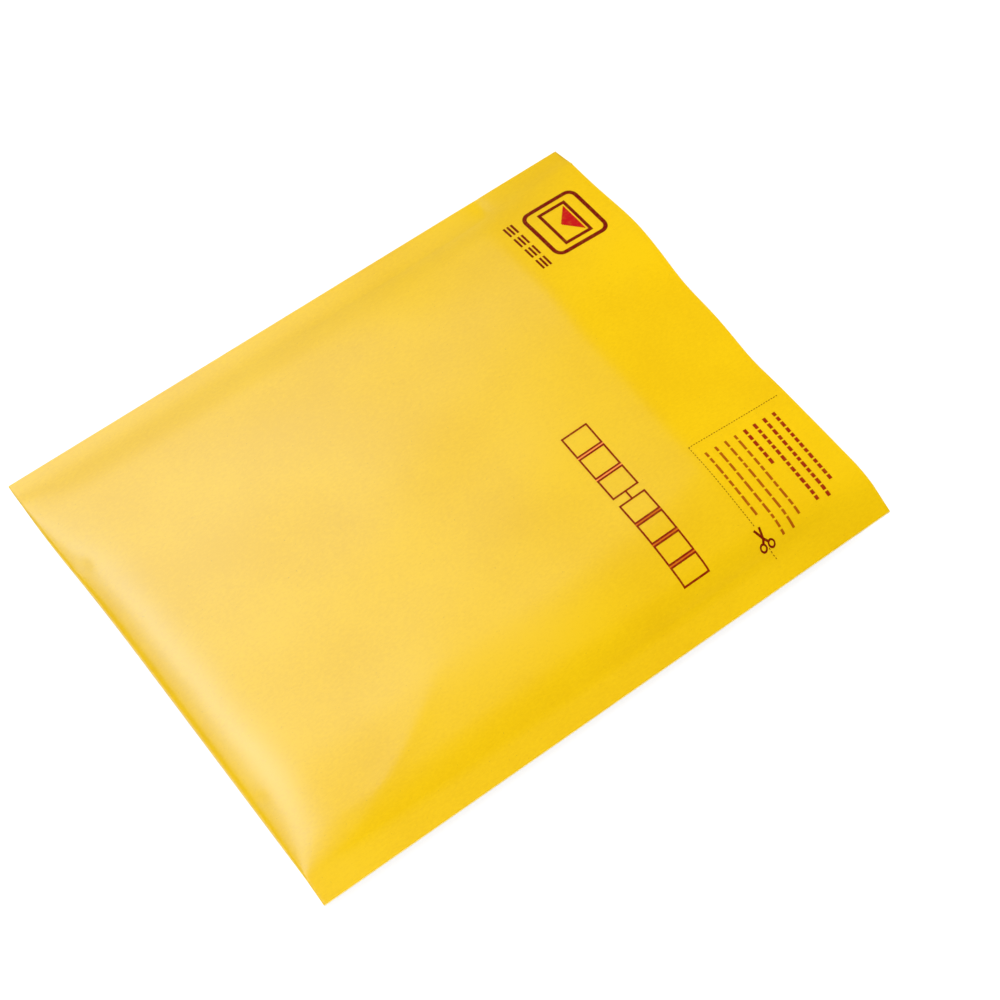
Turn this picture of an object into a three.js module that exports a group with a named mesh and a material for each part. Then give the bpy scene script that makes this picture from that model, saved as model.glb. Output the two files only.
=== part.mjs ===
import * as THREE from 'three';
import { mergeVertices } from 'three/addons/utils/BufferGeometryUtils.js';

// Padded envelope lying on its back with its mouth open, in millimetres.
// X runs across the envelope, +Y points out of the mouth and +Z is up from the table.
// One kraft sheet is folded at the bottom end and pressed together along both long sides.
// A bubble film pouch lines it, and both are lofts through closed sections along Y.

// Flat size and layers
const envelopeWidth = 210;
const envelopeLength = 263;
const paperThickness = 0.3;
const filmThickness = 3;
const layerGap = 0.4;

// Pressed seam strips along the two long sides, which hang in a curve to their outer edges
const seamWidth = 11;
const seamThickness = 1;
const seamHeight = 4.5;
const seamDroop = 1.5;
const seamCurve = 1.8;
const seamLiftAtMouth = 2.8;

// Rounded bottom fold: how far along Y it takes to reach each panel
const foldReachFront = 24;
const foldReachBack = 22;

// Crown of the front panel above the seam strips
const shoulderRise = 4.6;
const ridgeRise = 12.6;
const ridgeFromMouth = 49;
const ridgeRounding = 0.8;
const mouthRise = 6.7;

// Steps from the seams onto the edges of the film, as shares of the crown's rise
const lipShareLeft = 0.15;
const lipShareRight = 0.45;
const lipReach = 12;

// Slopes between the seams and the crown, in the body and at the mouth
const bodyReachLeft = 90;
const bodyReachRight = 36;
const bodyFullnessLeft = 2.5;
const bodyFullnessRight = 1.6;
const mouthReachLeft = 43;
const mouthReachRight = 50;
const mouthFullness = 1.25;
const lipFullness = 2;
const backReach = 30;
const backFullness = 2;

// Mouth: the stretch that takes its shape, and the front edge that draws back over the crown
const mouthStretch = 90;
const mouthDip = 2.7;
const mouthDipCentre = 21;
const mouthDipHalfWidth = 85;

// Lining: set in from the paper's mouth edge, and the rise of the front panel where the film
// and the pocket inside it end. The film is pressed thinner at the edges of the pocket.
const liningSetback = 1.5;
const liningEdgeRise = 1.2;
const pocketEdgeRise = 2.2;
const pocketHalfGap = 0.25;
const liningStartShare = 1.25;

// Sections
const columns = 24;
const stripColumns = 3;
const foldRows = 7;
const bodyRows = 11;
const mouthRows = 12;
const endSlack = 0.2;
const halvings = 30;

const { clamp, lerp, smoothstep } = THREE.MathUtils;
const halfWidth = envelopeWidth / 2;
const seamInner = halfWidth - seamWidth;
const foldY = -envelopeLength / 2;
const mouthY = envelopeLength / 2;
const ridgeY = mouthY - ridgeFromMouth;
const crownX = 0;
const quarterTurn = Math.PI / 2;

// 0 in the body of the envelope, 1 at the mouth.
const nearMouth = (y) => smoothstep(y, mouthY - mouthStretch, mouthY);

// Quarter ellipse of the fold: 0 on its outermost line, 1 where it meets the panel.
function foldArc(fromFold, reach) {
  const left = clamp(1 - fromFold / reach, 0, 1);
  return Math.sqrt(1 - left * left);
}

// Slope from a seam, 0, to the full height of the panel, 1.
function sideSlope(fromSeam, reach, fullness) {
  return 1 - (1 - clamp(fromSeam / reach, 0, 1)) ** fullness;
}

// Slope of the front panel, part of which is climbed in the step onto the film's edge.
function steppedSlope(fromSeam, reach, fullness, lipShare) {
  const slope = sideSlope(fromSeam, reach, fullness);
  return lerp(slope, sideSlope(fromSeam, lipReach, lipFullness), lipShare);
}

// Lower of two heights, with the corner between them rounded off.
function roundedMin(a, b, rounding) {
  const blend = clamp(0.5 + (b - a) / (2 * rounding), 0, 1);
  return lerp(b, a, blend) - rounding * blend * (1 - blend);
}

// Place between two others at which a height that grows from the first has reached the given one.
function placeOf(height, heightAt, first, last) {
  let under = first;
  let over = last;
  for (let i = 0; i < halvings; i += 1) {
    const middle = (under + over) / 2;
    if (heightAt(middle) < height) under = middle;
    else over = middle;
  }
  return over;
}

// Middle of the seam strips, which tip up towards the mouth. The inner panels start from it.
function seamPlane(x, y) {
  const acrossStrip = clamp((halfWidth - Math.abs(x)) / seamWidth, 0, 1);
  const lift = seamLiftAtMouth * nearMouth(y) * acrossStrip;
  return seamHeight + seamDroop * acrossStrip ** seamCurve + lift;
}

// Height of the crown line over the seam plane: up to a ridge, then down to the mouth.
function crownRise(y, inset) {
  const climb = (ridgeRise - shoulderRise) / (ridgeY - foldY);
  const fall = (ridgeRise - mouthRise) / ridgeFromMouth;
  const upward = shoulderRise + climb * (y - foldY);
  const downward = mouthRise + fall * (mouthY - y);
  const crown = roundedMin(upward, downward, ridgeRounding) - seamLiftAtMouth * nearMouth(y);
  return crown * foldArc(y - foldY - inset, foldReachFront - inset);
}

// Rise of the front panel over the seam plane.
function frontRise(x, y, inset) {
  const near = nearMouth(y);
  const reachLeft = lerp(bodyReachLeft, mouthReachLeft, near);
  const reachRight = lerp(bodyReachRight, mouthReachRight, near);
  const fullnessLeft = lerp(bodyFullnessLeft, mouthFullness, near);
  const fullnessRight = lerp(bodyFullnessRight, mouthFullness, near);
  const fromLeft = steppedSlope(x + seamInner, reachLeft, fullnessLeft, lipShareLeft);
  const fromRight = steppedSlope(seamInner - x, reachRight, fullnessRight, lipShareRight);
  return crownRise(y, inset) * fromLeft * fromRight;
}

// Upper side of the front panel, or of the layer that lies the inset below it.
function frontHeight(x, y, inset) {
  return seamPlane(x, y) + seamThickness / 2 + frontRise(x, y, inset) - inset;
}

// Under side of the back panel, flat on the table, or of the layer that lies the inset above it.
function backHeight(x, y, inset) {
  const fromLeft = sideSlope(x + seamInner, backReach, backFullness);
  const fromRight = sideSlope(seamInner - x, backReach, backFullness);
  const settled = fromLeft * fromRight * foldArc(y - foldY - inset, foldReachBack - inset);
  return (seamPlane(x, y) - seamThickness / 2) * (1 - settled) + inset;
}

// How far the front panel's mouth edge draws back from the back panel's.
function mouthDrawback(x) {
  const away = clamp((x - mouthDipCentre) / mouthDipHalfWidth, -1, 1);
  return mouthDip * Math.cos(quarterTurn * away) ** 2;
}

// Keeps a place between two ends, and moves one that is all but on an end onto it.
function settle(place, low, high) {
  if (place < low + endSlack) return low;
  if (place > high - endSlack) return high;
  return place;
}

// Places across a section, closer together at the seams. Those past an edge stop on it.
function placesAcross(leftEdge, rightEdge) {
  const places = [];
  for (let i = 0; i <= columns; i += 1) {
    const x = seamInner * Math.sin(quarterTurn * ((2 * i) / columns - 1));
    places.push(settle(x, leftEdge, rightEdge));
  }
  return places;
}

// Places along the envelope: round the fold by equal turns, along the body, then to the mouth.
// Those before the start or past the setback stop there.
function placesAlong(start, setback) {
  const bodyStart = foldY + foldReachFront;
  const mouthStart = mouthY - mouthStretch;
  const places = [];
  for (let i = 0; i < foldRows; i += 1) {
    places.push(lerp(bodyStart, foldY, Math.cos((quarterTurn * i) / foldRows)));
  }
  for (let i = 0; i < bodyRows; i += 1) {
    places.push(lerp(bodyStart, mouthStart, i / bodyRows));
  }
  for (let i = 0; i <= mouthRows; i += 1) {
    places.push(lerp(mouthStart, mouthY, i / mouthRows));
  }
  return places.map((y) => settle(y, start, mouthY - setback));
}

// One closed section: over the front from left to right, then back along the under side.
function section(y, across, inset, halfGap) {
  const front = across.map((x) => {
    const top = Math.max(frontHeight(x, y, inset), seamPlane(x, y) + halfGap);
    return new THREE.Vector3(x, y - mouthDrawback(x) * nearMouth(y), top);
  });
  const back = across.map((x) => {
    const bottom = Math.min(backHeight(x, y, inset), seamPlane(x, y) - halfGap);
    return new THREE.Vector3(x, y, bottom);
  });
  return [...front, ...back.reverse()];
}

// Sections of a skin of the paper. Its strips reach to the given edge, none for the inner skin.
function paperSections(inset, stripEdge) {
  const strip = [];
  for (let i = 1; i <= stripColumns; i += 1) {
    strip.push(lerp(seamInner, stripEdge, i / stripColumns));
  }
  const leftStrip = strip.map((x) => -x).reverse();
  const across = [...leftStrip, ...placesAcross(-seamInner, seamInner), ...strip];
  return placesAlong(foldY + inset, 0).map((y) => section(y, across, inset, 0));
}

// Sections of a skin of the lining. Each is as wide as the front panel is high enough for it.
function liningSections(inset, edgeRise, halfGap) {
  const startRise = liningStartShare * edgeRise;
  const start = placeOf(startRise, (y) => crownRise(y, inset), foldY + inset, ridgeY);
  return placesAlong(start, liningSetback).map((y) => {
    const riseAt = (x) => frontRise(x, y, inset);
    const leftEdge = placeOf(edgeRise, riseAt, -seamInner, crownX);
    const rightEdge = placeOf(edgeRise, riseAt, seamInner, crownX);
    return section(y, placesAcross(leftEdge, rightEdge), inset, halfGap);
  });
}

// Closed body through sections of equal length, with a flat cap on the first and the last.
// Each four-sided face is split along its shorter diagonal, so layers bend in the same places.
function loft(sections) {
  const corners = [];
  const addTriangle = (a, b, c) => {
    if (!a.equals(b) && !b.equals(c) && !c.equals(a)) corners.push(a, b, c);
  };
  const addQuad = (a, b, c, d) => {
    const alongFirst = a.distanceTo(c) <= b.distanceTo(d);
    addTriangle(a, b, alongFirst ? c : d);
    addTriangle(alongFirst ? a : b, c, d);
  };
  const addCap = (ring) => {
    const last = ring.length - 1;
    for (let i = 0; i < last / 2 - 1; i += 1) {
      addQuad(ring[i], ring[last - i], ring[last - i - 1], ring[i + 1]);
    }
  };
  for (let j = 0; j < sections.length - 1; j += 1) {
    const ring = sections[j];
    const next = sections[j + 1];
    ring.forEach((point, i) => {
      const beside = (i + 1) % ring.length;
      addQuad(point, ring[beside], next[beside], next[i]);
    });
  }
  addCap(sections[0]);
  addCap([...sections[sections.length - 1]].reverse());
  return mergeVertices(new THREE.BufferGeometry().setFromPoints(corners));
}

// A pouch: the outer skin from the fold to the mouth, over the rim, and the inner skin back.
const pouch = (outer, inner) => loft([...outer, ...inner.reverse()]);

function paperCover() {
  const outer = paperSections(0, halfWidth);
  const inner = paperSections(paperThickness, seamInner);
  return pouch(outer, inner);
}

function bubbleLining() {
  const outerInset = paperThickness + layerGap;
  const innerInset = outerInset + filmThickness;
  const outer = liningSections(outerInset, liningEdgeRise, pocketHalfGap);
  const inner = liningSections(innerInset, pocketEdgeRise, pocketHalfGap);
  return pouch(outer, inner);
}

function addPiece(group, name, geometry, material) {
  geometry.computeVertexNormals();
  const mesh = new THREE.Mesh(geometry, material);
  mesh.name = name;
  group.add(mesh);
}

const kraftPaper = new THREE.MeshStandardMaterial({ color: 0xf4c61a, roughness: 0.45, metalness: 0 });
const clearFilm = new THREE.MeshStandardMaterial({ color: 0xe4eaee, roughness: 0.2, metalness: 0 });

const paddedEnvelope = new THREE.Group();
paddedEnvelope.name = 'padded_envelope';
addPiece(paddedEnvelope, 'paper_cover', paperCover(), kraftPaper);
addPiece(paddedEnvelope, 'bubble_lining', bubbleLining(), clearFilm);

export default paddedEnvelope;
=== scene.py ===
import math

import bmesh
import bpy
import numpy as np
from mathutils import Matrix, Vector


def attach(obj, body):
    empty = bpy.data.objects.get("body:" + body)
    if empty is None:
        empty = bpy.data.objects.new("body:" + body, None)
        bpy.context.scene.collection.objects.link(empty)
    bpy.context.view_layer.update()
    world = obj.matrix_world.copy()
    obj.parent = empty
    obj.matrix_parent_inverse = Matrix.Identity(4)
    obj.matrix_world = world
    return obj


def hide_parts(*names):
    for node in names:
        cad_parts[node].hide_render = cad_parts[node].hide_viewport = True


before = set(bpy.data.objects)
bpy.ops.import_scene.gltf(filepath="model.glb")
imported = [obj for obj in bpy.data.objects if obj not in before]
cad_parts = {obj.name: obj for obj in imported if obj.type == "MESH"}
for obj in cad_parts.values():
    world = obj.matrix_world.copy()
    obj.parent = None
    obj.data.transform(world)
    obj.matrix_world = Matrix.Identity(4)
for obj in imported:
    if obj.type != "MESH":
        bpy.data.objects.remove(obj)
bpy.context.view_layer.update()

mm = 0.001


# Node helpers, for geometry and shader trees alike

def feed(tree, socket, value):
    if isinstance(value, bpy.types.NodeSocket):
        tree.links.new(value, socket)
    else:
        socket.default_value = value


def addNode(tree, kind, settings=None, **inputs):
    node = tree.nodes.new(kind)
    for key, value in (settings or {}).items():
        setattr(node, key, value)
    for key, value in inputs.items():
        feed(tree, node.inputs[key.replace("_", " ")], value)
    return node


def math2(tree, operation, a, b=0.0):
    node = addNode(tree, "ShaderNodeMath", {"operation": operation})
    feed(tree, node.inputs[0], a)
    feed(tree, node.inputs[1], b)
    return node.outputs[0]


def newGeometryTree(name, inputs):
    tree = bpy.data.node_groups.new(name, "GeometryNodeTree")
    face = tree.interface
    face.new_socket("Geometry", in_out="INPUT", socket_type="NodeSocketGeometry")
    for label, kind in inputs.items():
        face.new_socket(label, in_out="INPUT", socket_type="NodeSocket" + kind)
    face.new_socket("Geometry", in_out="OUTPUT", socket_type="NodeSocketGeometry")
    given = tree.nodes.new("NodeGroupInput").outputs
    result = tree.nodes.new("NodeGroupOutput").inputs["Geometry"]
    return tree, given, result


def runTree(piece, tree, values):
    modifier = piece.modifiers.new(tree.name, "NODES")
    modifier.node_group = tree
    for item in tree.interface.items_tree:
        if item.in_out == "INPUT" and item.name in values:
            modifier[item.identifier] = values[item.name]
    depsgraph = bpy.context.evaluated_depsgraph_get()
    made = bpy.data.meshes.new_from_object(piece.evaluated_get(depsgraph), depsgraph=depsgraph)
    piece.modifiers.clear()
    piece.data = made
    return piece


def newPiece(name, vertices, faces, edges=()):
    mesh = bpy.data.meshes.new(name)
    mesh.from_pydata(vertices, edges, faces)
    piece = bpy.data.objects.new(name, mesh)
    bpy.context.scene.collection.objects.link(piece)
    return piece


# Camera, at the angle of the photograph, framed for a 1000 by 1000 picture

viewpoint = {
    "azimuth": 53.195,
    "elevation": 61.415,
    "distance": 0.97879,
    "target": (0.010336, 0.016581, 0.0),
    "lens": 91.77,
    "sensor": 36.0,
}


def addCamera():
    azimuth = math.radians(viewpoint["azimuth"])
    elevation = math.radians(viewpoint["elevation"])
    back = Vector((math.sin(azimuth) * math.cos(elevation),
                   -math.cos(azimuth) * math.cos(elevation),
                   math.sin(elevation)))
    lens = bpy.data.cameras.new("camera")
    lens.lens = viewpoint["lens"]
    lens.sensor_width = viewpoint["sensor"]
    camera = bpy.data.objects.new("camera", lens)
    camera.location = Vector(viewpoint["target"]) + back * viewpoint["distance"]
    camera.rotation_euler = back.to_track_quat("Z", "Y").to_euler()
    bpy.context.scene.collection.objects.link(camera)
    bpy.context.scene.camera = camera


# Shape of the pouch in millimetres: X across, +Y out of the mouth, +Z up from the table

pouch = {
    "width": 210,
    "length": 263,
    "paper": 0.3,                # thickness of the kraft
    "seamWidth": 11,
    "seamThickness": 1,
    "seamHeight": 4.5,
    "seamDroop": 1.5,            # how far the strips hang down towards their outer edges
    "seamCurve": 1.8,
    "edgeSag": (0.0, 1.1),       # further sag of the left and right edges of the strips
    "seamLift": 2.8,             # how far the seams tip up at the mouth
    "foldFront": 24,             # run of the rounded fold into each panel
    "foldBack": 22,
    "shoulderRise": 4.6,         # crown over the seams at the fold, at the ridge and at the mouth
    "ridgeRise": 12.6,
    "mouthRise": 6.7,
    "ridgeFromMouth": 49,
    "ridgeRounding": 0.5,
    "lipShare": (0.15, 0.45),    # share of the rise taken as a short step beside the left and right seams
    "lipReach": 12,
    "bodyReach": (90, 36),       # run of the left and right slopes, and how full they are
    "bodyFullness": (2.5, 1.6),
    "mouthReach": (43, 50),
    "mouthFullness": 1.25,
    "mouthStretch": 90,          # length that takes the shape of the open mouth
    "backReach": 30,
    "mouthDip": 2.7,             # draw-back of the front edge, its centre and half width
    "dipCentre": 21,
    "dipHalfWidth": 85,
}

# Waves in the free edge of the front: place and spread across, rise, and how far the edge stands out
lipWaves = [
    {"x": -85, "spread": 12, "rise": -0.45, "out": -0.5},
    {"x": -50, "spread": 12, "rise": 0.6, "out": 0.5},
    {"x": -20, "spread": 8, "rise": -0.3, "out": -0.3},
    {"x": 3, "spread": 9, "rise": 0.3, "out": 0.3},
    {"x": 26, "spread": 7, "rise": -0.25, "out": -0.3},
]
lipWaveRun = 11                  # how far the waves run back from the edge

# Slack in the fold, which stands out a little near its left end
foldSlack = {"x": -81, "spread": 23, "out": 1.3, "run": 25}

halfWidth = pouch["width"] / 2
seamInner = halfWidth - pouch["seamWidth"]
foldY = -pouch["length"] / 2
mouthY = pouch["length"] / 2


def easeBetween(low, high, value):
    share = np.clip((value - low) / (high - low), 0, 1)
    return share * share * (3 - 2 * share)


def nearMouth(y):
    return easeBetween(mouthY - pouch["mouthStretch"], mouthY, y)


def foldArc(fromFold, reach):
    left = np.clip(1 - fromFold / reach, 0, 1)
    return np.sqrt(1 - left * left)


def sideSlope(fromSeam, reach, fullness):
    return 1 - (1 - np.clip(fromSeam / reach, 0, 1)) ** fullness


def roundedMin(a, b, rounding):
    share = np.clip(0.5 + (b - a) / (2 * rounding), 0, 1)
    return b + (a - b) * share - rounding * share * (1 - share)


def blend(low, high, share):
    return low + (high - low) * share


def seamPlane(x, y):
    acrossStrip = np.clip((halfWidth - np.abs(x)) / pouch["seamWidth"], 0, 1)
    droop = pouch["seamDroop"] * acrossStrip ** pouch["seamCurve"]
    sag = np.where(x < 0, *pouch["edgeSag"]) * (1 - acrossStrip) ** 2
    return pouch["seamHeight"] + droop - sag + pouch["seamLift"] * nearMouth(y) * acrossStrip


def foldNose(y):
    return pouch["seamThickness"] / 2 * foldArc(y - foldY, pouch["seamThickness"] / 2)


def crownRise(y):
    climb = (pouch["ridgeRise"] - pouch["shoulderRise"]) / (pouch["length"] - pouch["ridgeFromMouth"])
    fall = (pouch["ridgeRise"] - pouch["mouthRise"]) / pouch["ridgeFromMouth"]
    upward = pouch["shoulderRise"] + climb * (y - foldY)
    downward = pouch["mouthRise"] + fall * (mouthY - y)
    crown = roundedMin(upward, downward, pouch["ridgeRounding"]) - pouch["seamLift"] * nearMouth(y)
    return crown * foldArc(y - foldY, pouch["foldFront"])


def steppedSlope(fromSeam, side, y):
    reach = blend(pouch["bodyReach"][side], pouch["mouthReach"][side], nearMouth(y))
    fullness = blend(pouch["bodyFullness"][side], pouch["mouthFullness"], nearMouth(y))
    slope = sideSlope(fromSeam, reach, fullness)
    return blend(slope, sideSlope(fromSeam, pouch["lipReach"], 2), pouch["lipShare"][side])


def waveAt(x, name):
    return sum(wave[name] * np.exp(-((x - wave["x"]) / wave["spread"]) ** 2 / 2) for wave in lipWaves)


def frontHeight(x, y):
    slopes = steppedSlope(x + seamInner, 0, y) * steppedSlope(seamInner - x, 1, y)
    lip = waveAt(x, "rise") * np.exp(-(mouthY - y) / lipWaveRun)
    return seamPlane(x, y) + foldNose(y) + crownRise(y) * slopes + lip + paperMarks(x, y)


def backHeight(x, y):
    left = sideSlope(x + seamInner, pouch["backReach"], 2)
    right = sideSlope(seamInner - x, pouch["backReach"], 2)
    settled = left * right * foldArc(y - foldY, pouch["foldBack"])
    return (seamPlane(x, y) - foldNose(y)) * (1 - settled)


def mouthDrawback(x):
    away = np.clip((x - pouch["dipCentre"]) / pouch["dipHalfWidth"], -1, 1)
    return pouch["mouthDip"] * np.cos(np.pi / 2 * away) ** 2 - waveAt(x, "out")


def foldStandOut(x, y):
    across = np.exp(-((x - foldSlack["x"]) / foldSlack["spread"]) ** 2 / 2)
    return foldSlack["out"] * across * np.exp(-(y - foldY) / foldSlack["run"])


# Creases and dents pressed into the front: path, height (down where negative), reach and rounding

creases = [
    {"path": [(96, -125), (91, -108), (84, -92), (76, -75), (67, -60), (55, -42)],
     "height": 0.5, "reach": 6.7, "rounding": 0.8},
    {"path": [(-106, 91), (-94, 88)], "height": -0.6, "reach": 2.0, "rounding": 0.4},
    {"path": [(-33, 126), (-29, 117), (-23, 105)], "height": 0.3, "reach": 2.6, "rounding": 0.5},
    {"path": [(-58, -132), (-56, -124)], "height": -0.5, "reach": 2.0, "rounding": 0.5},
    {"path": [(60, -132), (61, -125)], "height": -0.4, "reach": 1.6, "rounding": 0.5},
]

creaseEnds = (0.04, 0.96)        # where along its path a crease fades to nothing
waves = {"count": 9, "seed": 4, "height": 0.035, "shortest": 26, "longest": 70, "fade": 20}


def creaseHeight(x, y, crease):
    path = np.array(crease["path"], float)
    nearest = np.full(x.shape, np.inf)
    along = np.zeros(x.shape)
    for i, (start, end) in enumerate(zip(path[:-1], path[1:])):
        run = end - start
        share = np.clip(((x - start[0]) * run[0] + (y - start[1]) * run[1]) / run.dot(run), 0, 1)
        away = np.hypot(x - start[0] - share * run[0], y - start[1] - share * run[1])
        along = np.where(away < nearest, (i + share) / (len(path) - 1), along)
        nearest = np.minimum(away, nearest)
    rounding = crease["rounding"]
    beyond = np.sqrt(nearest ** 2 + rounding ** 2) - rounding
    fade = np.sin(np.pi * np.clip(along, *creaseEnds))
    return crease["height"] * fade * np.exp(-beyond / crease["reach"])


def paperMarks(x, y):
    x, y = np.broadcast_arrays(x, y)
    rng = np.random.default_rng(waves["seed"])
    total = np.zeros(x.shape)
    for _ in range(waves["count"]):
        turn, phase = rng.uniform(0, 2 * np.pi, 2)
        rate = 2 * np.pi / rng.uniform(waves["shortest"], waves["longest"])
        total += waves["height"] * np.sin(rate * (x * np.cos(turn) + y * np.sin(turn)) + phase)
    fromSeams = np.clip((seamInner - np.abs(x)) / waves["fade"], 0, 1)
    fromFold = np.clip((y - foldY) / waves["fade"], 0, 1)
    total *= fromSeams * fromFold
    for crease in creases:
        total += creaseHeight(x, y, crease)
    return total


# A pouch is a closed shell: outer skin from the fold to the mouth, over the rim, inner skin back

grid = {"across": 96, "strip": 4, "foldRows": 24, "foldRun": 36, "rowStep": 1.9}
mergeWithin = 1e-6               # metres
dissolveWithin = 1e-7


def rowsAlong(start, end):
    turn = np.linspace(0, 1, grid["foldRows"], endpoint=False) ** 2
    foldPart = foldY + grid["foldRun"] * turn
    plain = np.arange(foldY + grid["foldRun"], mouthY - grid["rowStep"] / 2, grid["rowStep"])
    return np.clip(np.concatenate([foldPart, plain, [mouthY]]), start, end)


def columnsAcross(edge, stripEdge):
    turn = np.linspace(-1, 1, grid["across"] + 1)
    inner = edge * (0.5 * turn + 0.5 * np.sin(np.pi / 2 * turn))
    strip = np.linspace(edge, stripEdge, grid["strip"] + 1)[1:]
    return np.concatenate([-strip[::-1], inner, strip])


def skinRings(rows, columnsAt, inset, halfGap):
    rings = []
    for y in rows:
        x = columnsAt(y)
        middle = seamPlane(x, y)
        front = np.maximum(frontHeight(x, y) - inset, middle + halfGap)
        back = np.minimum(backHeight(x, y) + inset, middle - halfGap)
        backY = y - foldStandOut(x, y)
        top = np.stack([x, backY - mouthDrawback(x) * nearMouth(y), front], 1)
        bottom = np.stack([x, backY, back], 1)
        rings.append(np.concatenate([top, bottom[::-1]]))
    return rings


def pouchMesh(name, rings):
    count = len(rings[0])
    vertices = np.concatenate(rings) * mm
    faces = []
    for j in range(len(rings) - 1):
        for i in range(count):
            k = (i + 1) % count
            faces.append((j * count + i, j * count + k, (j + 1) * count + k, (j + 1) * count + i))
    half = count // 2
    for base in (0, (len(rings) - 1) * count):  # flat caps at the two fold ends
        for i in range(half - 1):
            cap = [base + i, base + count - 1 - i, base + count - 2 - i, base + i + 1]
            faces.append(cap if base == 0 else cap[::-1])
    piece = newPiece(name, vertices.tolist(), faces)
    work = bmesh.new()
    work.from_mesh(piece.data)
    bmesh.ops.remove_doubles(work, verts=work.verts, dist=mergeWithin)
    bmesh.ops.dissolve_degenerate(work, edges=work.edges, dist=dissolveWithin)
    work.to_mesh(piece.data)
    work.free()
    return piece


def shadeSmooth(mesh, angle):
    mesh.polygons.foreach_set("use_smooth", np.ones(len(mesh.polygons), bool))
    mesh.set_sharp_from_angle(angle=math.radians(angle))


# Inside of the cover, and how its bare cut edges are found
coverInside = {"halfGap": 0.05, "sideWithin": 0.01, "rimWithin": 0.1, "rimFacing": 0.7, "sharpAngle": 50}


def makeCover():
    outerRows = rowsAlong(foldY, mouthY)
    innerRows = rowsAlong(foldY + 2 * pouch["paper"], mouthY)
    outer = skinRings(outerRows, lambda y: columnsAcross(seamInner, halfWidth), 0, 0)
    inner = skinRings(innerRows, lambda y: columnsAcross(seamInner, seamInner),
                      pouch["paper"], coverInside["halfGap"])
    cover = pouchMesh("kraft_cover", outer + inner[::-1])
    mesh = cover.data
    cut = mesh.attributes.new("cutEdge", "FLOAT", "FACE")  # 1 on the bare cut edges of the paper
    side = (halfWidth - coverInside["sideWithin"]) * mm
    rim = (mouthY - pouch["mouthDip"] - coverInside["rimWithin"]) * mm
    for face, mark in zip(mesh.polygons, cut.data):
        points = [mesh.vertices[i].co for i in face.vertices]
        onSide = all(abs(p.x) > side for p in points)
        onRim = all(p.y > rim for p in points) and abs(face.normal.y) > coverInside["rimFacing"]
        mark.value = 1.0 if onSide or onRim else 0.0
    shadeSmooth(mesh, coverInside["sharpAngle"])
    return cover


# Bubble film lining: a thin film pouch under the paper, with its bubbles towards the pocket

lining = {
    "inset": 0.8,           # under the outer face of the paper
    "film": 0.15,
    "setback": 1.5,         # from the paper's mouth edge
    "edgeGap": 8.0,         # from the seams
    "foldGap": 3.0,
    "halfGap": 0.25,
    "bubbleRadius": 4.7,
    "bubbleHeight": 2.7,
    "bubblePitch": 11.0,
    "clearance": 0.15,      # left between facing bubbles
    "smallest": 0.3,        # share of the height under which a bubble is left out
    "crownPower": 0.6,      # under 1 gives a flat base and a full crown
    "segments": 10,
    "rings": 6,
    "castReach": 50,
    "castAbove": 1,         # over the seams, where the rays to both panels start
    "sharpAngle": 75,
}


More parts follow.
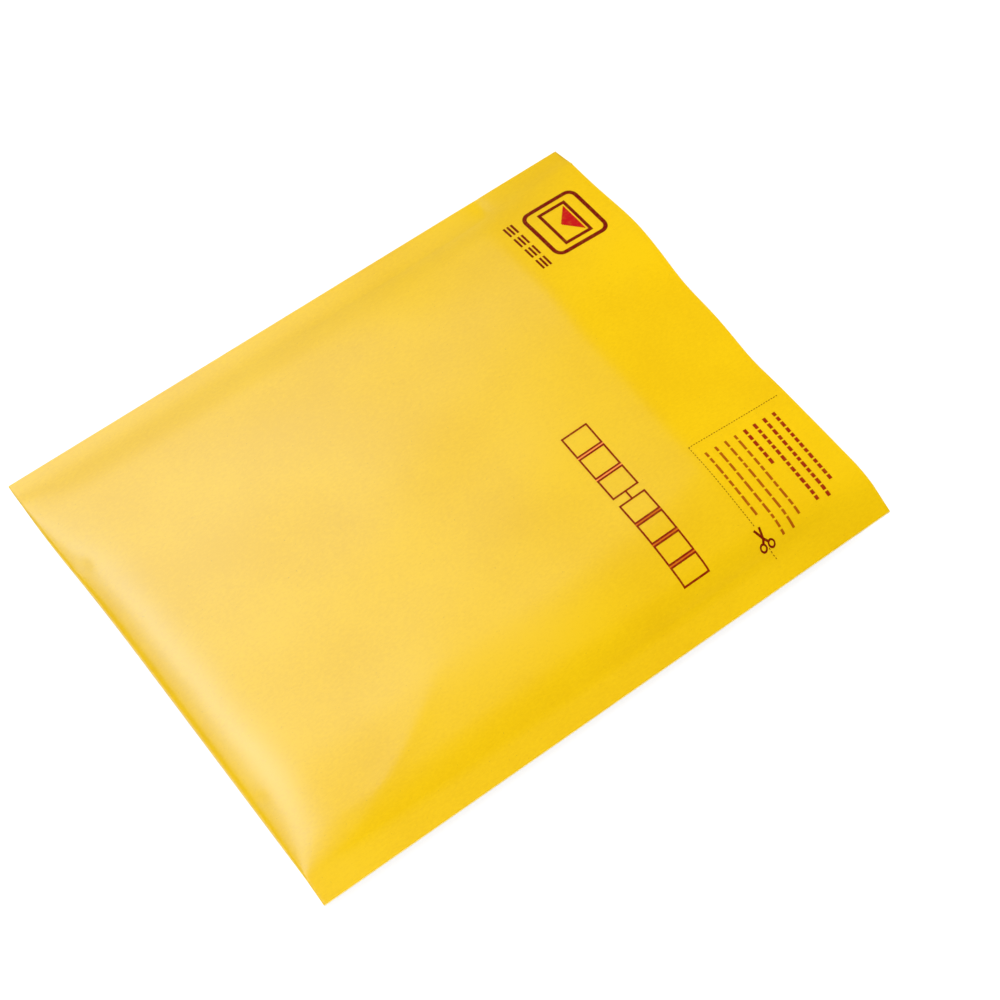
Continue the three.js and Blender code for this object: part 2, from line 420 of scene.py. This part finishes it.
def bubbleTree():
    tree, given, result = newGeometryTree("bubbleField", {
        "Width": "Float", "Length": "Float", "Pitch": "Float", "Radius": "Float", "Height": "Float",
        "Clearance": "Float", "Smallest": "Float", "Middle": "Float", "Film": "Material"})
    rowPitch = math2(tree, "MULTIPLY", given["Pitch"], math.sqrt(3) / 2)  # hexagonal rows
    countX = math2(tree, "FLOOR", math2(tree, "DIVIDE", given["Width"], given["Pitch"]))
    countY = math2(tree, "FLOOR", math2(tree, "DIVIDE", given["Length"], rowPitch))
    field = addNode(tree, "GeometryNodeMeshGrid",
                    Size_X=math2(tree, "MULTIPLY", countX, given["Pitch"]),
                    Size_Y=math2(tree, "MULTIPLY", countY, rowPitch),
                    Vertices_X=math2(tree, "ADD", countX, 1.0),
                    Vertices_Y=math2(tree, "ADD", countY, 1.0))
    point = tree.nodes.new("GeometryNodeInputPosition").outputs[0]
    place = addNode(tree, "ShaderNodeSeparateXYZ", Vector=point)
    fromEnd = math2(tree, "ADD", place.outputs["Y"], given["Length"])
    row = math2(tree, "ROUND", math2(tree, "DIVIDE", fromEnd, rowPitch))
    halfPitch = math2(tree, "MULTIPLY", given["Pitch"], 0.5)
    shift = math2(tree, "MULTIPLY", math2(tree, "MODULO", row, 2.0), halfPitch)
    moved = addNode(tree, "ShaderNodeCombineXYZ", X=shift, Z=given["Middle"])
    hexagonal = addNode(tree, "GeometryNodeSetPosition", Geometry=field.outputs["Mesh"],
                        Offset=moved.outputs[0])

    ball = addNode(tree, "GeometryNodeMeshUVSphere", Segments=lining["segments"], Rings=lining["rings"])
    point = tree.nodes.new("GeometryNodeInputPosition").outputs[0]
    onBall = addNode(tree, "ShaderNodeSeparateXYZ", Vector=point)
    upper = math2(tree, "MAXIMUM", onBall.outputs["Z"], 0.0)
    dome = math2(tree, "POWER", upper, lining["crownPower"])
    domed = addNode(tree, "ShaderNodeCombineXYZ", X=onBall.outputs["X"], Y=onBall.outputs["Y"], Z=dome)
    bubble = addNode(tree, "GeometryNodeSetPosition", Geometry=ball.outputs["Mesh"],
                     Position=domed.outputs[0])

    position = tree.nodes.new("GeometryNodeInputPosition").outputs[0]
    casts = []
    for direction in (1, -1):
        cast = addNode(tree, "GeometryNodeRaycast", Target_Geometry=given["Geometry"],
                       Source_Position=position, Ray_Direction=(0, 0, direction),
                       Ray_Length=lining["castReach"] * mm)
        casts.append(cast)
    apart = math2(tree, "ADD", casts[0].outputs["Hit Distance"], casts[1].outputs["Hit Distance"])
    room = math2(tree, "SUBTRACT", math2(tree, "MULTIPLY", apart, 0.5), given["Clearance"])
    tall = math2(tree, "MINIMUM", room, given["Height"])
    bothHit = addNode(tree, "FunctionNodeBooleanMath", {"operation": "AND"})
    feed(tree, bothHit.inputs[0], casts[0].outputs["Is Hit"])
    feed(tree, bothHit.inputs[1], casts[1].outputs["Is Hit"])
    highEnough = addNode(tree, "FunctionNodeCompare", {"operation": "GREATER_THAN"})
    feed(tree, highEnough.inputs["A"], tall)
    feed(tree, highEnough.inputs["B"], math2(tree, "MULTIPLY", given["Height"], given["Smallest"]))
    keep = addNode(tree, "FunctionNodeBooleanMath", {"operation": "AND"})
    feed(tree, keep.inputs[0], bothHit.outputs[0])
    feed(tree, keep.inputs[1], highEnough.outputs[0])
    size = addNode(tree, "ShaderNodeCombineXYZ", X=given["Radius"], Y=given["Radius"], Z=tall)

    joined = addNode(tree, "GeometryNodeJoinGeometry", Geometry=given["Geometry"])
    for cast in casts:
        seat = addNode(tree, "ShaderNodeVectorMath", {"operation": "SUBTRACT"})
        feed(tree, seat.inputs[0], cast.outputs["Hit Position"])
        feed(tree, seat.inputs[1], position)
        carried = addNode(tree, "GeometryNodeCaptureAttribute", Geometry=hexagonal.outputs[0])
        carried.capture_items.new("VECTOR", "Seat")
        feed(tree, carried.inputs["Seat"], seat.outputs[0])
        turn = addNode(tree, "FunctionNodeAlignRotationToVector", {"axis": "Z"},
                       Vector=cast.outputs["Hit Normal"])
        placed = addNode(tree, "GeometryNodeInstanceOnPoints", Points=carried.outputs["Geometry"],
                         Selection=keep.outputs[0], Instance=bubble.outputs[0], Rotation=turn.outputs[0],
                         Scale=size.outputs[0])
        pushed = addNode(tree, "GeometryNodeTranslateInstances", Instances=placed.outputs[0],
                         Translation=carried.outputs["Seat"], Local_Space=False)
        tree.links.new(pushed.outputs[0], joined.inputs["Geometry"])
    real = addNode(tree, "GeometryNodeRealizeInstances", Geometry=joined.outputs[0])
    finish = addNode(tree, "GeometryNodeSetMaterial", Geometry=real.outputs[0], Material=given["Film"])
    tree.links.new(finish.outputs[0], result)
    return tree


def makeLining(finish):
    start, end = foldY + lining["foldGap"], mouthY - lining["setback"]
    rows = rowsAlong(start, end)
    edge = seamInner - lining["edgeGap"]
    columns = columnsAcross(edge, edge)
    outer = skinRings(rows, lambda y: columns, lining["inset"], lining["halfGap"] + lining["film"])
    inner = skinRings(rows, lambda y: columns, lining["inset"] + lining["film"], lining["halfGap"])
    piece = pouchMesh("bubble_film_lining", outer + inner[::-1])
    runTree(piece, bubbleTree(), {
        "Width": 2 * edge * mm,
        "Length": (end - start - 2 * lining["bubbleRadius"]) * mm,
        "Pitch": lining["bubblePitch"] * mm,
        "Radius": lining["bubbleRadius"] * mm,
        "Height": lining["bubbleHeight"] * mm,
        "Clearance": lining["clearance"] * mm,
        "Smallest": lining["smallest"],
        "Middle": (pouch["seamHeight"] + lining["castAbove"]) * mm,
        "Film": finish})
    shadeSmooth(piece.data, lining["sharpAngle"])
    return piece


# Finishes

def newMaterial(name):
    material = bpy.data.materials.new(name)
    material.use_nodes = True
    tree = material.node_tree
    return material, tree, tree.nodes["Principled BSDF"]


# Grain of the paper, shared by the paper and the ink: fibres drawn along the length, clouds and specks
grainLook = {
    "drawn": (1.0, 0.45, 1.0), "fibreDetail": 4.0, "fibreRoughness": 0.65,
    "cloudDetail": 3.0, "cloudRoughness": 0.5, "speckDetail": 1.0, "speckFrom": (0.76, 0.80),
}


def paperGrainGroup():
    group = bpy.data.node_groups.new("paperGrain", "ShaderNodeTree")
    face = group.interface
    face.new_socket("Fibre Scale", in_out="INPUT", socket_type="NodeSocketFloat")
    face.new_socket("Cloud Scale", in_out="INPUT", socket_type="NodeSocketFloat")
    for label in ("Fibres", "Clouds", "Flecks"):
        face.new_socket(label, in_out="OUTPUT", socket_type="NodeSocketFloat")
    given = group.nodes.new("NodeGroupInput").outputs
    result = group.nodes.new("NodeGroupOutput").inputs
    where = group.nodes.new("ShaderNodeTexCoord").outputs["Object"]
    drawn = addNode(group, "ShaderNodeMapping", Vector=where, Scale=grainLook["drawn"])
    fibres = addNode(group, "ShaderNodeTexNoise", Vector=drawn.outputs[0], Scale=given["Fibre Scale"],
                     Detail=grainLook["fibreDetail"], Roughness=grainLook["fibreRoughness"])
    clouds = addNode(group, "ShaderNodeTexNoise", Vector=where, Scale=given["Cloud Scale"],
                     Detail=grainLook["cloudDetail"], Roughness=grainLook["cloudRoughness"])
    specks = addNode(group, "ShaderNodeTexNoise", Vector=where, Scale=given["Fibre Scale"],
                     Detail=grainLook["speckDetail"])
    flecks = addNode(group, "ShaderNodeMapRange", Value=specks.outputs[0],
                     From_Min=grainLook["speckFrom"][0], From_Max=grainLook["speckFrom"][1])
    feed(group, result["Fibres"], fibres.outputs[0])
    feed(group, result["Clouds"], clouds.outputs[0])
    feed(group, result["Flecks"], flecks.outputs[0])
    return group


def addGrain(tree, group, fibreScale, cloudScale):
    grain = addNode(tree, "ShaderNodeGroup", {"node_tree": group})
    grain.inputs["Fibre Scale"].default_value = fibreScale
    grain.inputs["Cloud Scale"].default_value = cloudScale
    return grain.outputs


def mixColour(tree, share, a, b):
    node = addNode(tree, "ShaderNodeMix", {"data_type": "RGBA"})
    feed(tree, node.inputs["Factor"], share)
    feed(tree, node.inputs[6], a)  # 6, 7 and 2 are the colour sockets
    feed(tree, node.inputs[7], b)
    return node.outputs[2]


kraft = {
    "yellow": (0.875, 0.556, 0.0010, 1),
    "deepYellow": (0.815, 0.498, 0.0005, 1),
    "sheen": (0.50, 0.74, 1.0, 1),
    "fleck": (0.50, 0.26, 0.02, 1),
    "fleckShare": 0.5,
    "cutEdge": (0.93, 0.72, 0.20, 1),
    "roughness": (0.29, 0.335),
    "ior": 1.65,
    "specular": 0.84,
    "fibreScale": 1300.0,
    "cloudScale": 22.0,
    "bump": 0.06,
    "bumpDistance": 0.0003,
    "mottleFrom": (0.79, 1.21),
    "fibresFrom": (0.3, 0.7),    # span of the fibres that the roughness follows
}


def kraftMaterial(group):
    material, tree, shader = newMaterial("yellow_kraft")
    grain = addGrain(tree, group, kraft["fibreScale"], kraft["cloudScale"])
    cloudy = math2(tree, "ADD", grain["Clouds"], grain["Fibres"])
    mottle = addNode(tree, "ShaderNodeMapRange", Value=cloudy,
                     From_Min=kraft["mottleFrom"][0], From_Max=kraft["mottleFrom"][1])
    tint = mixColour(tree, mottle.outputs[0], kraft["deepYellow"], kraft["yellow"])
    fleckMask = math2(tree, "MULTIPLY", grain["Flecks"], kraft["fleckShare"])
    flecked = mixColour(tree, fleckMask, tint, kraft["fleck"])
    cut = addNode(tree, "ShaderNodeAttribute", {"attribute_name": "cutEdge"})
    feed(tree, shader.inputs["Base Color"], mixColour(tree, cut.outputs["Fac"], flecked, kraft["cutEdge"]))
    rough = addNode(tree, "ShaderNodeMapRange", Value=grain["Fibres"],
                    From_Min=kraft["fibresFrom"][0], From_Max=kraft["fibresFrom"][1],
                    To_Min=kraft["roughness"][0], To_Max=kraft["roughness"][1])
    feed(tree, shader.inputs["Roughness"], rough.outputs[0])
    shader.inputs["IOR"].default_value = kraft["ior"]
    shader.inputs["Specular IOR Level"].default_value = kraft["specular"]
    shader.inputs["Specular Tint"].default_value = kraft["sheen"]
    bump = addNode(tree, "ShaderNodeBump", Strength=kraft["bump"], Distance=kraft["bumpDistance"],
                   Height=grain["Fibres"])
    feed(tree, shader.inputs["Normal"], bump.outputs[0])
    return material


film = {
    "colour": (0.93, 0.95, 0.96, 1), "alpha": 0.17, "roughness": 0.12, "specular": 1.0,
    "crinkleScale": 260.0, "crinkleDetail": 3.0, "bump": 0.08, "bumpDistance": 0.0004,
}


def filmMaterial():
    material, tree, shader = newMaterial("clear_bubble_film")
    where = tree.nodes.new("ShaderNodeTexCoord").outputs["Object"]
    crinkle = addNode(tree, "ShaderNodeTexNoise", Vector=where, Scale=film["crinkleScale"],
                      Detail=film["crinkleDetail"])
    bump = addNode(tree, "ShaderNodeBump", Strength=film["bump"], Distance=film["bumpDistance"],
                   Height=crinkle.outputs[0])
    feed(tree, shader.inputs["Normal"], bump.outputs[0])
    shader.inputs["Base Color"].default_value = film["colour"]
    shader.inputs["Alpha"].default_value = film["alpha"]
    shader.inputs["Roughness"].default_value = film["roughness"]
    shader.inputs["Specular IOR Level"].default_value = film["specular"]
    return material


# Printing on the front: strokes of ink along paths, each a thin closed slab that follows the paper

inks = {
    "maroon": (0.160, 0.0010, 0.0005, 1),
    "oxblood": (0.230, 0.0060, 0.0005, 1),
    "red": (0.480, 0.0020, 0.0060, 1),
    "salmon": (0.850, 0.250, 0.050, 1),
    "rust": (0.560, 0.120, 0.004, 1),
    "umber": (0.200, 0.055, 0.002, 1),
    "brick": (0.290, 0.014, 0.002, 1),
    "brown": (0.360, 0.075, 0.002, 1),
}

inkLayer = {
    "lift": 0.008, "depth": 0.07, "cuts": 5, "castFrom": 50, "sharpAngle": 40,
    "roughness": (0.46, 0.54), "fibresFrom": (0.3, 0.7), "specular": 0.2,
    "rubbed": 0.12, "rubbedFrom": (0.5, 0.75),
}


def strokeTree():
    tree, given, result = newGeometryTree("inkStrokes", {
        "Cuts": "Int", "Lift": "Float", "Depth": "Float", "Above": "Float",
        "Paper": "Object", "Ink": "Material"})
    lines = addNode(tree, "GeometryNodeMeshToCurve", Mesh=given["Geometry"])
    divided = addNode(tree, "GeometryNodeSubdivideCurve", Curve=lines.outputs[0], Cuts=given["Cuts"])
    level = addNode(tree, "GeometryNodeSetCurveNormal", {"mode": "Z_UP"}, Curve=divided.outputs[0])
    section = addNode(tree, "GeometryNodeCurvePrimitiveQuadrilateral", {"mode": "RECTANGLE"},
                      Width=1.0, Height=1.0)
    width = addNode(tree, "GeometryNodeInputNamedAttribute", {"data_type": "FLOAT"}, Name="strokeWidth")
    swept = addNode(tree, "GeometryNodeCurveToMesh", Curve=level.outputs[0], Profile_Curve=section.outputs[0],
                    Scale=width.outputs[0], Fill_Caps=True)
    point = tree.nodes.new("GeometryNodeInputPosition").outputs[0]
    place = addNode(tree, "ShaderNodeSeparateXYZ", Vector=point)
    above = addNode(tree, "ShaderNodeCombineXYZ", X=place.outputs["X"], Y=place.outputs["Y"],
                    Z=given["Above"])
    paper = addNode(tree, "GeometryNodeObjectInfo", Object=given["Paper"])
    cast = addNode(tree, "GeometryNodeRaycast", Target_Geometry=paper.outputs["Geometry"],
                   Source_Position=above.outputs[0], Ray_Direction=(0, 0, -1), Ray_Length=given["Above"])
    onPaper = addNode(tree, "ShaderNodeSeparateXYZ", Vector=cast.outputs["Hit Position"])
    halfDepth = math2(tree, "MULTIPLY", given["Depth"], 0.5)
    face = math2(tree, "MULTIPLY", math2(tree, "SIGN", place.outputs["Z"]), halfDepth)
    height = math2(tree, "ADD", onPaper.outputs["Z"], math2(tree, "ADD", given["Lift"], face))
    settled = addNode(tree, "ShaderNodeCombineXYZ", X=place.outputs["X"], Y=place.outputs["Y"], Z=height)
    laid = addNode(tree, "GeometryNodeSetPosition", Geometry=swept.outputs[0], Position=settled.outputs[0])
    real = addNode(tree, "GeometryNodeRealizeInstances", Geometry=laid.outputs[0])
    finish = addNode(tree, "GeometryNodeSetMaterial", Geometry=real.outputs[0], Material=given["Ink"])
    tree.links.new(finish.outputs[0], result)
    return tree


def layInk(name, strokes, tree, paper, finish):
    vertices, edges, widths, colours = [], [], [], []
    for path, width, ink in strokes:
        closed = path[0] == path[-1]
        points = path[:-1] if closed else path
        first = len(vertices)
        vertices += [(x * mm, y * mm, 0) for x, y in points]
        edges += [(first + i, first + i + 1) for i in range(len(points) - 1)]
        if closed:
            edges.append((first + len(points) - 1, first))
        widths += [width * mm] * len(points)
        colours += [inks[ink]] * len(points)
    piece = newPiece(name, vertices, [], edges)
    piece.data.attributes.new("strokeWidth", "FLOAT", "POINT").data.foreach_set("value", widths)
    piece.data.attributes.new("ink", "FLOAT_COLOR", "POINT").data.foreach_set("color", np.ravel(colours))
    runTree(piece, tree, {
        "Cuts": inkLayer["cuts"],
        "Lift": inkLayer["lift"] * mm,
        "Depth": inkLayer["depth"] * mm,
        "Above": inkLayer["castFrom"] * mm,
        "Paper": paper,
        "Ink": finish})
    shadeSmooth(piece.data, inkLayer["sharpAngle"])
    return piece


def bar(left, right, y, height, ink):
    return ([(left, y), (right, y)], height, ink)


def outline(left, right, low, high, stroke, ink):
    half = stroke / 2
    sides = [bar(left - half, right + half, y, stroke, ink) for y in (low, high)]
    for x in (left, right):
        sides.append(([(x, low + half), (x, high - half)], stroke, ink))
    return sides


def roundedSquare(centre, size, radius, steps=6):
    path = []
    for corner in range(4):
        start = corner * math.pi / 2
        for step in range(steps + 1):
            turn = start + math.pi / 2 * step / steps
            middle = start + math.pi / 4
            x = centre[0] + math.copysign(size / 2 - radius, math.cos(middle)) + radius * math.cos(turn)
            y = centre[1] + math.copysign(size / 2 - radius, math.sin(middle)) + radius * math.sin(turn)
            path.append((x, y))
    return path + path[:1]


def ring(centre, radius, steps=14):
    turns = [2 * math.pi * i / steps for i in range(steps)]
    path = [(centre[0] + radius * math.cos(turn), centre[1] + radius * math.sin(turn)) for turn in turns]
    return path + path[:1]


shortestDash = 0.2               # share of a dash, so that no sliver is left at the end


def dashes(start, end, dash, pitch, width, ink):
    length = math.dist(start, end)
    strokes = []
    for i in range(int(length / pitch) + 1):
        shares = [min((i * pitch + run) / length, 1) for run in (0, dash)]
        if shares[1] - shares[0] > shortestDash * dash / length:
            path = [(blend(start[0], end[0], t), blend(start[1], end[1], t)) for t in shares]
            strokes.append((path, width, ink))
    return strokes


# Framed mark with a plain letter in it, and four groups of bars under it
letterMark = {
    "centre": (-69.9, 109.2), "size": 25.2, "radius": 3.4, "stroke": 1.75,
    "letter": (18, 12.4), "letterStroke": 1.4, "flapRow": 0.5, "flapDepth": 0.55, "barGroups": 4,
    "barsFrom": -82.6, "barPitch": 7.2, "barLength": 5.4, "barHeight": 0.95, "barRows": (91.4, 89.6, 87.8),
}


def letterStrokes():
    x, y = letterMark["centre"]
    border = roundedSquare((x, y), letterMark["size"], letterMark["radius"])
    strokes = [(border, letterMark["stroke"], "maroon")]
    wide, tall = letterMark["letter"]
    inset = letterMark["letterStroke"]
    strokes += outline(x - wide / 2, x + wide / 2, y - tall / 2, y + tall / 2, inset, "maroon")
    top, row = y + tall / 2 - inset, letterMark["flapRow"]
    drop = tall * letterMark["flapDepth"]
    for i in range(int(drop / row)):  # filled flap, row by row
        half = (wide / 2 - inset) * (1 - (i + 0.5) * row / drop)
        strokes.append(bar(x - half, x + half, top - (i + 0.5) * row, row, "red"))
    for i in range(letterMark["barGroups"]):
        left = letterMark["barsFrom"] + i * letterMark["barPitch"]
        for low in letterMark["barRows"]:
            strokes.append(bar(left, left + letterMark["barLength"], low, letterMark["barHeight"], "maroon"))
    return strokes


# Seven empty boxes for a postal code, three and four with a dash between them
codeBoxes = {
    "left": (11.1, 22.1, 33.5, 47.0, 57.45, 67.75, 78.0),
    "right": (21.5, 32.9, 43.7, 56.85, 67.15, 77.4, 87.0),
    "low": 44.8, "high": 57.1, "stroke": 0.75, "gapInks": ("salmon", "salmon", None, "rust", "rust", "rust"),
}


def codeBoxStrokes():
    low, high, stroke = codeBoxes["low"], codeBoxes["high"], codeBoxes["stroke"]
    middle = (low + high) / 2
    half = stroke / 2
    strokes = []
    for left, right in zip(codeBoxes["left"], codeBoxes["right"]):
        strokes += outline(left + half, right - half, low + half, high - half, stroke, "oxblood")
    for right, left, ink in zip(codeBoxes["right"], codeBoxes["left"][1:], codeBoxes["gapInks"]):
        if ink:
            strokes.append(([((right + left) / 2, low), ((right + left) / 2, high)], left - right, ink))
        else:
            strokes.append(bar(right, left, middle, stroke, "oxblood"))
    return strokes


# Dotted line to cut along, with a small pair of scissors on it
cutLine = {
    "top": (43.5, 125.5), "corner": (43.5, 81.2), "end": (83.5, 81.3),
    "resume": (91.6, 82.0), "edge": (96.5, 82.6),
    "dash": 0.7, "pitch": 1.25, "width": 0.32,
    "pivot": (88.2, 81.6), "tips": ((84.2, 82.6), (84.3, 80.0)), "loops": ((90.9, 83.8), (90.9, 80.0)),
    "loopRadius": 1.25, "bladeWidth": 0.95, "loopStroke": 0.7,
}


def cutLineStrokes():
    dotted = (cutLine["dash"], cutLine["pitch"], cutLine["width"], "umber")
    strokes = dashes(cutLine["top"], cutLine["corner"], *dotted)
    strokes += dashes(cutLine["corner"], cutLine["end"], *dotted)
    strokes += dashes(cutLine["resume"], cutLine["edge"], *dotted)
    pivot = cutLine["pivot"]
    for tip, loop in zip(cutLine["tips"], cutLine["loops"][::-1]):
        reach = 1 - cutLine["loopRadius"] / math.dist(pivot, loop)
        handle = (blend(pivot[0], loop[0], reach), blend(pivot[1], loop[1], reach))
        strokes.append(([tip, pivot, handle], cutLine["bladeWidth"], "maroon"))
        strokes.append((ring(loop, cutLine["loopRadius"]), cutLine["loopStroke"], "maroon"))
    return strokes


# Rows of plain bars in place of a printed note
noteRows = {
    "left": 48.8, "top": 118.9, "pitch": 4.83, "ends": (84, 90.5, 87.5, 67, 88, 91, 93, 80), "seed": 3,
    "upper": {"count": 4, "height": 1.5, "bar": (1.6, 2.6), "gap": 0.75, "ink": "brick"},
    "lower": {"count": 4, "height": 1.1, "bar": (1.6, 5.0), "gap": 0.85, "ink": "brown"},
}


def noteRowStrokes():
    rng = np.random.default_rng(noteRows["seed"])
    strokes = []
    for i, end in enumerate(noteRows["ends"]):
        style = noteRows["upper"] if i < noteRows["upper"]["count"] else noteRows["lower"]
        x, y = noteRows["left"], noteRows["top"] - i * noteRows["pitch"]
        while x < end - style["bar"][0]:
            right = min(x + rng.uniform(*style["bar"]), end)
            strokes.append(bar(x, right, y, style["height"], style["ink"]))
            x = right + style["gap"]
    return strokes


def inkMaterial(group):
    material, tree, shader = newMaterial("printing_ink")
    grain = addGrain(tree, group, kraft["fibreScale"], kraft["cloudScale"])
    printed = addNode(tree, "ShaderNodeAttribute", {"attribute_name": "ink"})
    rubbed = addNode(tree, "ShaderNodeMapRange", Value=grain["Fibres"],
                     From_Min=inkLayer["rubbedFrom"][0], From_Max=inkLayer["rubbedFrom"][1],
                     To_Max=inkLayer["rubbed"])
    worn = mixColour(tree, rubbed.outputs[0], printed.outputs["Color"], kraft["yellow"])
    feed(tree, shader.inputs["Base Color"], worn)
    rough = addNode(tree, "ShaderNodeMapRange", Value=grain["Fibres"],
                    From_Min=inkLayer["fibresFrom"][0], From_Max=inkLayer["fibresFrom"][1],
                    To_Min=inkLayer["roughness"][0], To_Max=inkLayer["roughness"][1])
    feed(tree, shader.inputs["Roughness"], rough.outputs[0])
    shader.inputs["Specular IOR Level"].default_value = inkLayer["specular"]
    return material


# Stage: pale floor, soft studio light, white behind everything

studio = {
    "floorSize": 6.0,
    "floorColour": (0.40, 0.40, 0.40, 1),
    "floorGlow": (0.70, 1.0),    # as seen near the envelope and far from it
    "glowRun": (0.5, 1.3),
    "worldLevel": 0.015,
    "floorDrop": 0.0002,         # keeps the floor just under the back panel
}

lamps = {
    "softbox": {"towards": (-0.519, -0.242, 0.9), "distance": 1.2, "size": (0.98, 1.14), "power": 4.0},
    "sideSoftbox": {"towards": (-0.831, -0.032, 0.6), "distance": 1.2, "size": (1.4, 0.76), "power": 3.0},
    "foldStrip": {"towards": (-0.07, -0.244, 0.9), "distance": 1.2, "size": (1.4, 0.08), "power": 3.1},
    "rightFill": {"towards": (0.80, -0.40, 0.43), "distance": 1.4, "size": (0.9, 0.9), "power": 17.1},
    "backFill": {"towards": (-0.10, 0.95, 0.30), "distance": 1.5, "size": (0.9, 0.5), "power": 25.5},
    "leftFill": {"towards": (-0.82, -0.48, 0.31), "distance": 1.5, "size": (0.6, 0.6), "power": 5.2},
    "frontFill": {"towards": (-0.10, -0.97, 0.18), "distance": 1.5, "size": (0.9, 0.3), "power": 2.4},
    "mouthGlint": {"towards": (0.0, 0.95, 0.34), "distance": 1.5, "size": (0.5, 0.12), "power": 18.0},
}


def addStage():
    material, tree, shader = newMaterial("pale_floor")
    output = tree.nodes["Material Output"]
    tree.nodes.remove(shader)
    plain = addNode(tree, "ShaderNodeBsdfDiffuse", Color=studio["floorColour"])
    ray = tree.nodes.new("ShaderNodeLightPath").outputs
    mirrored = math2(tree, "MAXIMUM", ray["Is Glossy Ray"], ray["Is Transmission Ray"])
    seen = math2(tree, "MAXIMUM", ray["Is Camera Ray"], mirrored)
    where = tree.nodes.new("ShaderNodeTexCoord").outputs["Object"]
    away = addNode(tree, "ShaderNodeVectorMath", {"operation": "LENGTH"}, Vector=where)
    level = addNode(tree, "ShaderNodeMapRange", Value=away.outputs["Value"],
                    From_Min=studio["glowRun"][0], From_Max=studio["glowRun"][1],
                    To_Min=studio["floorGlow"][0], To_Max=studio["floorGlow"][1])
    glow = addNode(tree, "ShaderNodeEmission", Strength=math2(tree, "MULTIPLY", seen, level.outputs[0]))
    both = tree.nodes.new("ShaderNodeAddShader")
    tree.links.new(plain.outputs[0], both.inputs[0])
    tree.links.new(glow.outputs[0], both.inputs[1])
    tree.links.new(both.outputs[0], output.inputs["Surface"])
    half = studio["floorSize"] / 2
    corners = [(-half, -half, 0), (half, -half, 0), (half, half, 0), (-half, half, 0)]
    floor = newPiece("floor", corners, [(0, 1, 2, 3)])
    floor.location.z = -studio["floorDrop"]
    floor.data.materials.append(material)

    world = bpy.data.worlds.new("studio")
    world.use_nodes = True
    bpy.context.scene.world = world
    tree = world.node_tree
    background = tree.nodes["Background"]
    background.inputs["Color"].default_value = (1, 1, 1, 1)
    ray = tree.nodes.new("ShaderNodeLightPath").outputs
    seen = math2(tree, "MAXIMUM", ray["Is Camera Ray"], ray["Is Transmission Ray"])
    level = addNode(tree, "ShaderNodeMapRange", Value=seen, To_Min=studio["worldLevel"], To_Max=1.0)
    tree.links.new(level.outputs[0], background.inputs["Strength"])


def addLamps():
    for name, lamp in lamps.items():
        light = bpy.data.lights.new(name, "AREA")
        light.shape = "RECTANGLE"
        light.size, light.size_y = lamp["size"]
        light.energy = lamp["power"]
        source = bpy.data.objects.new(name, light)
        towards = Vector(lamp["towards"]).normalized()
        source.location = towards * lamp["distance"]
        across = (Vector((1, 0, 0)) - towards * towards.x).normalized()  # first size runs across the envelope
        source.rotation_euler = Matrix((across, towards.cross(across), towards)).transposed().to_euler()
        source.visible_glossy = not name.endswith("Fill")  # the fills give no sheen
        bpy.context.scene.collection.objects.link(source)


addCamera()
addStage()
addLamps()
bpy.context.scene.view_settings.view_transform = "Standard"
print("camera, stage and lamps set")

grainGroup = paperGrainGroup()
cover = makeCover()
cover.data.materials.append(kraftMaterial(grainGroup))
print("kraft cover:", len(cover.data.polygons), "faces")

filmFinish = filmMaterial()
bubbleLining = makeLining(filmFinish)
glintOn = bpy.data.collections.new("glint_on_film")
glintOn.objects.link(bubbleLining)
bpy.data.objects["mouthGlint"].light_linking.receiver_collection = glintOn  # only the film takes this lamp
print("bubble lining:", len(bubbleLining.data.polygons), "faces")

inkFinish = inkMaterial(grainGroup)
strokes = strokeTree()
printing = [
    layInk("letter_mark", letterStrokes(), strokes, cover, inkFinish),
    layInk("postal_code_boxes", codeBoxStrokes(), strokes, cover, inkFinish),
    layInk("cut_line", cutLineStrokes(), strokes, cover, inkFinish),
    layInk("note_rows", noteRowStrokes(), strokes, cover, inkFinish),
]
print("printing:", sum(len(piece.data.polygons) for piece in printing), "faces")

bodies = ((cover, "paper_cover", "kraft_paper"), (bubbleLining, "bubble_lining", "bubble_film"))
for piece, node, slot in bodies:
    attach(piece, "root")
    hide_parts(node)
for piece in printing:
    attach(piece, "root")
